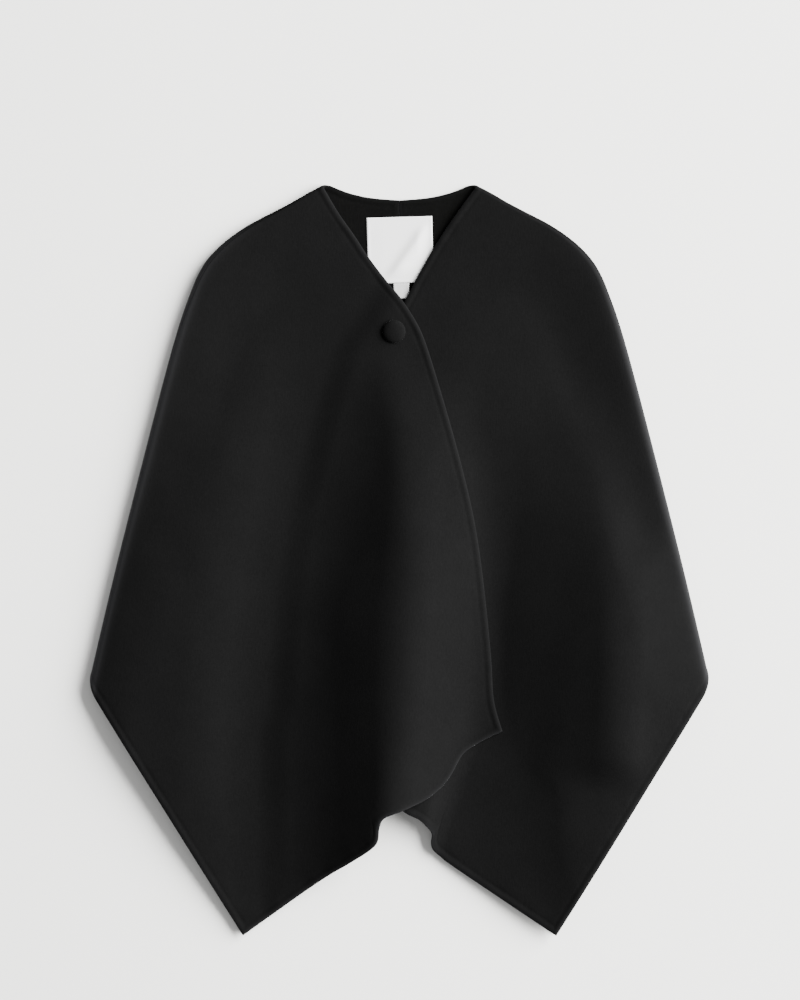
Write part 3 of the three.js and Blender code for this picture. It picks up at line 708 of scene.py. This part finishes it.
def front_borders(side, edge_points, hem_points):
    edge = DrawnLine(edge_points, -side)
    hem = DrawnLine(hem_points, -side)
    side_start, neck_start = (
        roll_point(side, share, leave_angle(side, share))[0, :2] for share in (np.ones(1), np.zeros(1)))
    corner = np.array([side * HEM_CORNER[0], HEM_CORNER[1]])
    edge_shift = neck_start - edge.at(0)
    borders = (
        lambda u: roll_point(side, np.asarray(u, float), leave_angle(side, u))[..., :2],
        hem.at,
        lambda v: edge.at(v) + edge_shift * np.clip(1 - np.asarray(v) * NECK_MEETS, 0, 1)[..., None],
        lambda v: side_start + (corner - side_start) * np.asarray(v)[..., None],
    )
    return borders, edge.length, np.linalg.norm(side_start - corner)


edge_lines = {}
for side, name, edge_points, hem_points, height_of, lies_on in (
        (1, "left_front", LEFT_EDGE, LEFT_HEM, left_height, ["left_back_wool", "right_back_wool"]),
        (-1, "right_front", RIGHT_EDGE, RIGHT_HEM, upper_height, ["left_front_wool", "right_back_wool"])):
    borders, edge_length, side_hem_length = front_borders(side, edge_points, hem_points)
    u, v, angle, distance = panel_grid(
        borders, side, lambda share: leave_angle(side, share), FRONT_CELLS["across"], FRONT_CELLS["along"])
    rolled = roll_point(side, u, angle)
    plan = between(borders, u, v)
    from_side = v * (edge_length + (side_hem_length - edge_length) * u)
    folds = height_of(plan[..., 0], plan[..., 1])
    start = roll_radius(side, u) * (1 + np.sin(angle))
    slant = smooth(side_rise(side, u) / FULL_RISE)
    t = np.clip(from_side / ROLL_BLEND, 0, 1)
    z = start + (folds - start) * (t * (2 - t) * slant + smooth(t) * (1 - slant))
    to_edge = np.minimum(distance["inner"], distance["hem"])
    away = smooth(from_side / CREASE_FADE["side"]) * smooth(to_edge / CREASE_FADE["edge"])
    z = z + creases(plan[..., 0], plan[..., 1]) * away
    top = np.where((v > 0)[..., None], np.dstack([plan, z]), rolled)
    normal = grid_normals(top)
    normal *= np.where(normal[-len(EDGE_STEPS) - 20, u.shape[1] // 2, 2] < 0, -1, 1)
    turned = np.minimum(np.minimum(distance["hem"], distance["outer"]), distance["inner"])
    seam = np.minimum(turned, distance["seam"] * SEAM_TIGHTNESS["front"])
    half = WALL / 2 * rounded(seam, WALL / 2)
    uneven = handwork(plan[..., 0], plan[..., 1]) * smooth(turned / HANDWORK["from"])
    uneven = uneven * smooth((HANDWORK["to"] - turned) / HANDWORK["fade"])
    upper = np.minimum(half, WALL / 2 * rounded(turned, TURNING["round"]))
    upper = upper + rounded(seam, WALL / 2) * (turned_edge(turned) + uneven)
    middle = top - normal * WALL / 2
    face = middle + normal * upper[..., None]
    edge_lines[name] = (face, normal)
    # Painted sheen on the rolls, hems and edges.
    bend = painted_sheen_at(side, u, angle, from_side, distance)
    panel = panel_mesh(name, face, middle - normal * half[..., None], bend)
    piece = add_piece(f"{name}_wool", panel, melton, [name])

# Blind stitching: one small stitch of black thread every few millimetres, sunk in the groove where the
# turned edges of the fronts are caught down by hand. Polyester sewing thread, faintly glossy.
STITCH = {"length": 3.2, "width": 0.5, "pitch": 7.5, "inset": 8.8, "sunk": 0.24}

sewing_thread, output = bare_material("black_polyester_thread")
coordinates = add_node(sewing_thread, "ShaderNodeTexCoord")
twist = add_node(
    sewing_thread, "ShaderNodeTexWave", {"bands_direction": "DIAGONAL"},
    inputs={"Scale": 1 / (2.4 * MM), "Distortion": 1.5},
    links={"Vector": coordinates.outputs["Object"]})
twist_bump = add_node(
    sewing_thread, "ShaderNodeBump", inputs={"Strength": 0.4, "Distance": 0.1 * MM},
    links={"Height": twist.outputs["Fac"]})
shader = add_node(
    sewing_thread, "ShaderNodeBsdfPrincipled",
    inputs={"Base Color": linear("#0c0c0c"), "Roughness": 0.75, "Specular IOR Level": 0.15},
    links={"Normal": twist_bump.outputs["Normal"]})
sewing_thread.node_tree.links.new(shader.outputs["BSDF"], output.inputs["Surface"])


def add_stitch(bm, place, along, up, length, width):
    """One stitch of thread: a long bead that dives into the cloth at both ends."""
    along = along.normalized()
    across = up.cross(along).normalized()
    turned = Matrix((along, across, along.cross(across))).transposed().to_4x4()
    size = Matrix.Diagonal((length / 2 * MM, width / 2 * MM, width / 2 * MM, 1))
    bmesh.ops.create_icosphere(
        bm, subdivisions=1, radius=1, matrix=Matrix.Translation(place * MM) @ turned @ size)


def finish_mesh(bm, name):
    """The finished mesh of a bmesh, with its doubles merged and its faces smooth and outwards."""
    bmesh.ops.remove_doubles(bm, verts=bm.verts, dist=0.005 * MM)
    bmesh.ops.recalc_face_normals(bm, faces=bm.faces)
    for face in bm.faces:
        face.smooth = True
    new_mesh = bpy.data.meshes.new(name)
    bm.to_mesh(new_mesh)
    bm.free()
    return new_mesh


def resampled(points, normals, pitch):
    """Points and normals at even steps along a line of points."""
    steps = np.linalg.norm(np.diff(points, axis=0), axis=1)
    lengths = np.concatenate([[0], np.cumsum(steps)])
    places = np.arange(pitch, lengths[-1] - pitch / 2, pitch)
    at = [np.stack([np.interp(places, lengths, line[:, k]) for k in range(3)], axis=-1)
          for line in (points, normals)]
    ahead = np.stack([np.interp(places + 0.5, lengths, points[:, k]) for k in range(3)], axis=-1)
    return at[0], at[1], ahead - at[0]


groove_step = min(range(len(EDGE_STEPS)), key=lambda i: abs(EDGE_STEPS[i] - STITCH["inset"]))
for name, (face, normal) in edge_lines.items():
    bm = bmesh.new()
    first_row = face.shape[0] - FRONT_CELLS["along"] - len(EDGE_STEPS)
    down = slice(first_row, -groove_step)
    across = slice(groove_step, -groove_step)
    for row in ((down, groove_step), (-1 - groove_step, across), (down, -1 - groove_step)):
        for place, up, along in zip(*resampled(face[row], normal[row], STITCH["pitch"])):
            sunk = Vector(place - up * STITCH["sunk"])
            add_stitch(bm, sunk, Vector(along), Vector(up), STITCH["length"], STITCH["width"])
    add_piece(f"{name}_blind_stitches", finish_mesh(bm, name), sewing_thread)

# The buttonhole: a slot cut through the right front, whose raw edges are bound with close purl stitches
# of black thread worked by hand, with round ends. The button and its shank pass through it.
BUTTON_PLACE = (-6.6, 273.6)
BUTTONHOLE = {
    "inwards": 14, "outwards": 9.5, "half_width": 1.8, "angle": 200, "purl": 1.25, "stitches": 56,
    "corners": 64, "cut_depth": 10, "cut_height": 50}
# The two beads of a purl stitch: how high they lie, and their length and width
PURL_LEG = {"lift": 0.1, "size": (2.7, 0.75)}
PURL_KNOT = {"lift": 0.25, "size": (1.1, 0.9)}


def buttonhole_line(reach, steps):
    """Points, and headings outwards, round a slot's edge at a distance outside it."""
    half = BUTTONHOLE["half_width"]
    ends = (half - BUTTONHOLE["outwards"], BUTTONHOLE["inwards"] - half)
    straight = ends[1] - ends[0]
    around = 2 * straight + 2 * math.pi * half
    turn = math.radians(BUTTONHOLE["angle"])
    line = []
    for step in range(steps):
        place = step / steps * around
        if place < straight:
            p, out = (ends[0] + place, half), (0, 1)
        elif place < straight + math.pi * half:
            angle = math.pi / 2 - (place - straight) / half
            out = (math.cos(angle), math.sin(angle))
            p = (ends[1] + half * out[0], half * out[1])
        elif place < 2 * straight + math.pi * half:
            p, out = (ends[1] - (place - straight - math.pi * half), -half), (0, -1)
        else:
            angle = -math.pi / 2 - (place - 2 * straight - math.pi * half) / half
            out = (math.cos(angle), math.sin(angle))
            p = (ends[0] + half * out[0], half * out[1])
        p = Vector((p[0] + out[0] * reach, p[1] + out[1] * reach, 0))
        spun = Matrix.Rotation(turn, 3, "Z")
        line.append((spun @ p + Vector((*BUTTON_PLACE, 0)), spun @ Vector((*out, 0))))
    return line


bm = bmesh.new()
bmesh.ops.create_circle(bm, cap_ends=True, segments=BUTTONHOLE["corners"], radius=1)
for vert, (place, out) in zip(bm.verts, buttonhole_line(0, BUTTONHOLE["corners"])):
    vert.co = (place - Vector((0, 0, BUTTONHOLE["cut_depth"]))) * MM
walls = bmesh.ops.extrude_face_region(bm, geom=bm.faces[:])
tops = [item for item in walls["geom"] if isinstance(item, bmesh.types.BMVert)]
bmesh.ops.translate(bm, vec=(0, 0, BUTTONHOLE["cut_height"] * MM), verts=tops)
cutter = bpy.data.objects.new("buttonhole_cutter", finish_mesh(bm, "buttonhole_cutter"))
bpy.context.collection.objects.link(cutter)

right_front_wool = bpy.data.objects["right_front_wool"]
cut = right_front_wool.modifiers.new("buttonhole", "BOOLEAN")
cut.object = cutter
cut.solver = "EXACT"
evaluated = right_front_wool.evaluated_get(bpy.context.evaluated_depsgraph_get())
right_front_wool.modifiers.clear()
right_front_wool.data = bpy.data.meshes.new_from_object(evaluated)
bpy.data.objects.remove(cutter)

bm = bmesh.new()
purls = buttonhole_line(BUTTONHOLE["purl"], BUTTONHOLE["stitches"])
for (place, out), (rim, _) in zip(purls, buttonhole_line(0, BUTTONHOLE["stitches"])):
    for spot, bead in ((place, PURL_LEG), (rim, PURL_KNOT)):
        z = float(upper_height(np.array(spot.x), np.array(spot.y)))
        add_stitch(bm, Vector((spot.x, spot.y, z + bead["lift"])), out, Vector((0, 0, 1)), *bead["size"])
add_piece("buttonhole_stitches", finish_mesh(bm, "buttonhole_stitches"), sewing_thread)

# The button: a metal shell covered in a circle of the same wool, which is gathered behind it over a flat
# back plate. Its thread shank, wound round and round, ties it to the left front through the buttonhole.
BUTTON_PROFILE = [
    # distance from the middle, height over the back
    (0, 6.6), (4, 6.45), (8, 5.9), (11, 4.9), (12.6, 3.9), (13.6, 2.8), (14, 1.75), (13.75, 1.1),
    (13, 0.65), (11.8, 0.4), (10, 0.25), (8.6, 0.2), (8.2, 0.6), (0, 0.6)]
GATHERS = {"count": 26, "height": 0.16, "from_back": 1.6, "from_middle": 8}
SWELLS = 0.08
SHANK = {"radius": 1.4, "windings": 6, "steps": 6, "thread": 0.3}

button_low, button_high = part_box("button")
bm = bmesh.new()
profile = [bm.verts.new(Vector((r, 0, z)) * MM) for r, z in BUTTON_PROFILE]
for start, end in zip(profile, profile[1:]):
    bm.edges.new((start, end))
bmesh.ops.spin(
    bm, geom=bm.verts[:] + bm.edges[:], cent=(0, 0, 0), axis=(0, 0, 1), dvec=(0, 0, 0),
    angle=2 * math.pi, steps=72, use_merge=True, use_duplicate=False)
bmesh.ops.remove_doubles(bm, verts=bm.verts, dist=0.01 * MM)
for vert in bm.verts:
    spot = vert.co / MM
    swirl = math.atan2(spot.y, spot.x)
    near_back = max(0, 1 - spot.z / GATHERS["from_back"])
    gathers = near_back * min(spot.xy.length / GATHERS["from_middle"], 1)
    vert.co.z += GATHERS["height"] * MM * gathers * math.sin(swirl * GATHERS["count"])
    vert.co.z += SWELLS * MM * math.sin(spot.x / 4 + 1) * math.sin(spot.y / 5)
middle = (button_low + button_high) / 2
bmesh.ops.translate(bm, vec=(middle.x, middle.y, button_low.z), verts=bm.verts)
covered_button = add_piece("covered_button", finish_mesh(bm, "covered_button"), melton, ["button"])
rounder = covered_button.modifiers.new("rounded", "SUBSURF")
rounder.levels = 1
rounder.render_levels = 1

shank_low, shank_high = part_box("button_shank")
bm = bmesh.new()
rise = (shank_high.z - shank_low.z) / MM
steps = SHANK["windings"] * SHANK["steps"]
profile = []
for step in range(steps + 1):
    share = step / steps
    wave = 0.5 - 0.5 * math.cos(share * SHANK["windings"] * 2 * math.pi)
    radius = SHANK["radius"] - SHANK["thread"] + SHANK["thread"] * wave
    profile.append(bm.verts.new(Vector((radius, 0, share * rise)) * MM))
ends = [bm.verts.new((0, 0, 0)), bm.verts.new((0, 0, rise * MM))]
chain = [ends[0], *profile, ends[1]]
for start, end in zip(chain, chain[1:]):
    bm.edges.new((start, end))
bmesh.ops.spin(
    bm, geom=bm.verts[:] + bm.edges[:], cent=(0, 0, 0), axis=(0, 0, 1), dvec=(0, 0, 0),
    angle=2 * math.pi, steps=20, use_merge=True, use_duplicate=False)
middle = (shank_low + shank_high) / 2
bmesh.ops.translate(bm, vec=(middle.x, middle.y, shank_low.z), verts=bm.verts)
add_piece("wound_thread_shank", finish_mesh(bm, "shank"), sewing_thread, ["button_shank"])

# The neck label: a square of white woven satin with folded edges, sewn flat inside the back
# neck by a row of small white stitches, and the care label, a narrow nylon tab tucked under it.
LABEL = {
    "width": 78.5, "height": 79, "centre_x": 0.8, "top": 411.4, "tilt": 1.6, "z": 3.35,
    "thickness": 0.55, "cells": (60, 60)}
CARE_LABEL = {"width": 19, "height": 18.5, "thickness": 0.4, "bow": 0.5, "cells": (16, 16)}
# A ribbon's turned hem: how far it stands up, where it ends, and how far its outer edge is rounded down
RIBBON_HEM = {"height": 0.16, "reach": 2.4, "ease": 1.2, "rounded": 0.12}
LABEL_FOLD = {"bow": 0.3, "height": 2.6, "lean": 0.75, "offset": 14, "near": 15, "far": 9, "sewn": 20}
LABEL_STITCH = {"inset": 1.3, "pitch": 2.6, "length": 1.7, "width": 0.36, "height": 0.62}
SATIN = {"thread": 0.35, "float": 1.4}

satin, output = bare_material("white_woven_satin")
# Polyester satin ribbon: smooth and bright, with a soft gloss along its floating threads
coordinates = add_node(satin, "ShaderNodeTexCoord")
stretch = add_node(
    satin, "ShaderNodeMapping",
    inputs={"Scale": (SATIN["thread"] / SATIN["float"], 1, 1)},
    links={"Vector": coordinates.outputs["Object"]})
threads = add_node(
    satin, "ShaderNodeTexNoise", inputs={"Scale": 1 / (SATIN["thread"] * MM), "Detail": 2},
    links={"Vector": stretch.outputs["Vector"]})
rows = add_node(
    satin, "ShaderNodeTexWave", {"bands_direction": "Y"},
    inputs={"Scale": 0.31 / (2 * SATIN["thread"] * MM)},
    links={"Vector": coordinates.outputs["Object"]})
weave = add_node(
    satin, "ShaderNodeMath", {"operation": "MULTIPLY_ADD"}, inputs={1: 0.5},
    links={0: rows.outputs["Fac"], 2: threads.outputs["Fac"]})
satin_colour = add_node(satin, "ShaderNodeValToRGB", links={"Fac": weave.outputs["Value"]})
satin_colour.color_ramp.elements[0].position = 0.2
satin_colour.color_ramp.elements[0].color = linear("#e2e2e0")
satin_colour.color_ramp.elements[1].position = 1.1
satin_colour.color_ramp.elements[1].color = linear("#efefee")
weave_bump = add_node(
    satin, "ShaderNodeBump", inputs={"Strength": 0.25, "Distance": 0.08 * MM},
    links={"Height": weave.outputs["Value"]})
shader = add_node(
    satin, "ShaderNodeBsdfPrincipled",
    inputs={"Roughness": 0.5, "Specular IOR Level": 0.35, "Sheen Weight": 0.08},
    links={"Base Color": satin_colour.outputs["Color"], "Normal": weave_bump.outputs["Normal"]})
satin.node_tree.links.new(shader.outputs["BSDF"], output.inputs["Surface"])


def ribbon(width, height, cells, thickness, lift):
    """Bmesh of a closed, thin sheet of ribbon, lifted by a function of the place in mm from its middle."""
    bm = bmesh.new()
    bmesh.ops.create_grid(bm, x_segments=cells[0], y_segments=cells[1], size=0.5)
    walls = bmesh.ops.extrude_face_region(bm, geom=bm.faces[:])
    raised = {item for item in walls["geom"] if isinstance(item, bmesh.types.BMVert)}
    for vert in bm.verts:
        x, y = vert.co.x * width, vert.co.y * height
        to_edge = min(width / 2 - abs(x), height / 2 - abs(y))
        hem = RIBBON_HEM["height"] * (1 - smooth((to_edge - RIBBON_HEM["reach"]) / RIBBON_HEM["ease"]))
        if to_edge <= 0.01:
            hem = -RIBBON_HEM["rounded"]
        up = lift(x, y) + (thickness + hem if vert in raised else 0)
        vert.co = Vector((x, y, up)) * MM
    return bm


def label_lift(x, y):
    """The label bows up from the cloth between its sewn edges, most along a soft diagonal fold."""
    bow = smooth((LABEL["width"] / 2 - abs(x)) / LABEL_FOLD["sewn"])
    bow = bow * smooth((LABEL["height"] / 2 - abs(y)) / LABEL_FOLD["sewn"])
    off = x - LABEL_FOLD["lean"] * y - LABEL_FOLD["offset"]
    fold = math.exp(-(off / LABEL_FOLD["near" if off > 0 else "far"])**2)
    return float(bow * (LABEL_FOLD["bow"] + LABEL_FOLD["height"] * fold))


label_turn = Matrix.Rotation(math.radians(LABEL["tilt"]), 4, "Z")
label_place = Matrix.Translation(
    Vector((LABEL["centre_x"], LABEL["top"] - LABEL["height"] / 2, LABEL["z"])) * MM) @ label_turn
bm = ribbon(LABEL["width"], LABEL["height"], LABEL["cells"], LABEL["thickness"], label_lift)
bmesh.ops.transform(bm, matrix=label_place, verts=bm.verts)
neck_label = add_piece(
    "neck_label_satin", finish_mesh(bm, "neck_label"), satin, ["neck_label"])

white_thread, output = bare_material("white_polyester_thread")
# Polyester sewing thread: smooth and faintly glossy, a shade darker than the ribbon
coordinates = add_node(white_thread, "ShaderNodeTexCoord")
twist = add_node(
    white_thread, "ShaderNodeTexWave", {"bands_direction": "DIAGONAL"}, inputs={"Scale": 1 / (2 * MM)},
    links={"Vector": coordinates.outputs["Object"]})
twist_bump = add_node(
    white_thread, "ShaderNodeBump", inputs={"Strength": 0.3, "Distance": 0.08 * MM},
    links={"Height": twist.outputs["Fac"]})
shader = add_node(
    white_thread, "ShaderNodeBsdfPrincipled",
    inputs={"Base Color": linear("#dcdcda"), "Roughness": 0.45, "Specular IOR Level": 0.4},
    links={"Normal": twist_bump.outputs["Normal"]})
white_thread.node_tree.links.new(shader.outputs["BSDF"], output.inputs["Surface"])

bm = bmesh.new()
half = LABEL["width"] / 2 - LABEL_STITCH["inset"]
count = round(2 * half / LABEL_STITCH["pitch"])
for turn in range(4):
    corner = Matrix.Rotation(turn * math.pi / 2, 4, "Z")
    for i in range(count):
        along = corner @ Vector((1, 0, 0))
        place = corner @ Vector(((i + 0.5) * 2 * half / count - half, half, LABEL_STITCH["height"]))
        add_stitch(bm, place, along, Vector((0, 0, 1)), LABEL_STITCH["length"], LABEL_STITCH["width"])
bmesh.ops.transform(bm, matrix=label_place, verts=bm.verts)
add_piece("neck_label_stitches", finish_mesh(bm, "label_stitches"), white_thread)

nylon_tape, output = bare_material("white_nylon_tape")
# Thin nylon tape: matt, and greyer than the satin.
coordinates = add_node(nylon_tape, "ShaderNodeTexCoord")
tape_threads = add_node(
    nylon_tape, "ShaderNodeTexNoise", inputs={"Scale": 1 / (0.3 * MM), "Detail": 2},
    links={"Vector": coordinates.outputs["Object"]})
tape_bump = add_node(
    nylon_tape, "ShaderNodeBump", inputs={"Strength": 0.3, "Distance": 0.06 * MM},
    links={"Height": tape_threads.outputs["Fac"]})
shader = add_node(
    nylon_tape, "ShaderNodeBsdfPrincipled",
    inputs={"Base Color": linear("#b9b9b8"), "Roughness": 0.75, "Specular IOR Level": 0.2},
    links={"Normal": tape_bump.outputs["Normal"]})
nylon_tape.node_tree.links.new(shader.outputs["BSDF"], output.inputs["Surface"])

care_low, care_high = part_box("care_label")
care_middle = (care_low + care_high) / 2
care_place = Matrix.Translation((care_middle.x, care_middle.y, LABEL["z"] * MM)) @ label_turn
bm = ribbon(
    CARE_LABEL["width"], CARE_LABEL["height"], CARE_LABEL["cells"], CARE_LABEL["thickness"],
    lambda x, y: CARE_LABEL["bow"] * math.cos(x / 6) * (0.5 - y / CARE_LABEL["height"]))
bmesh.ops.transform(bm, matrix=care_place, verts=bm.verts)
care_label = add_piece(
    "care_label_tape", finish_mesh(bm, "care_label"), nylon_tape, ["care_label"])
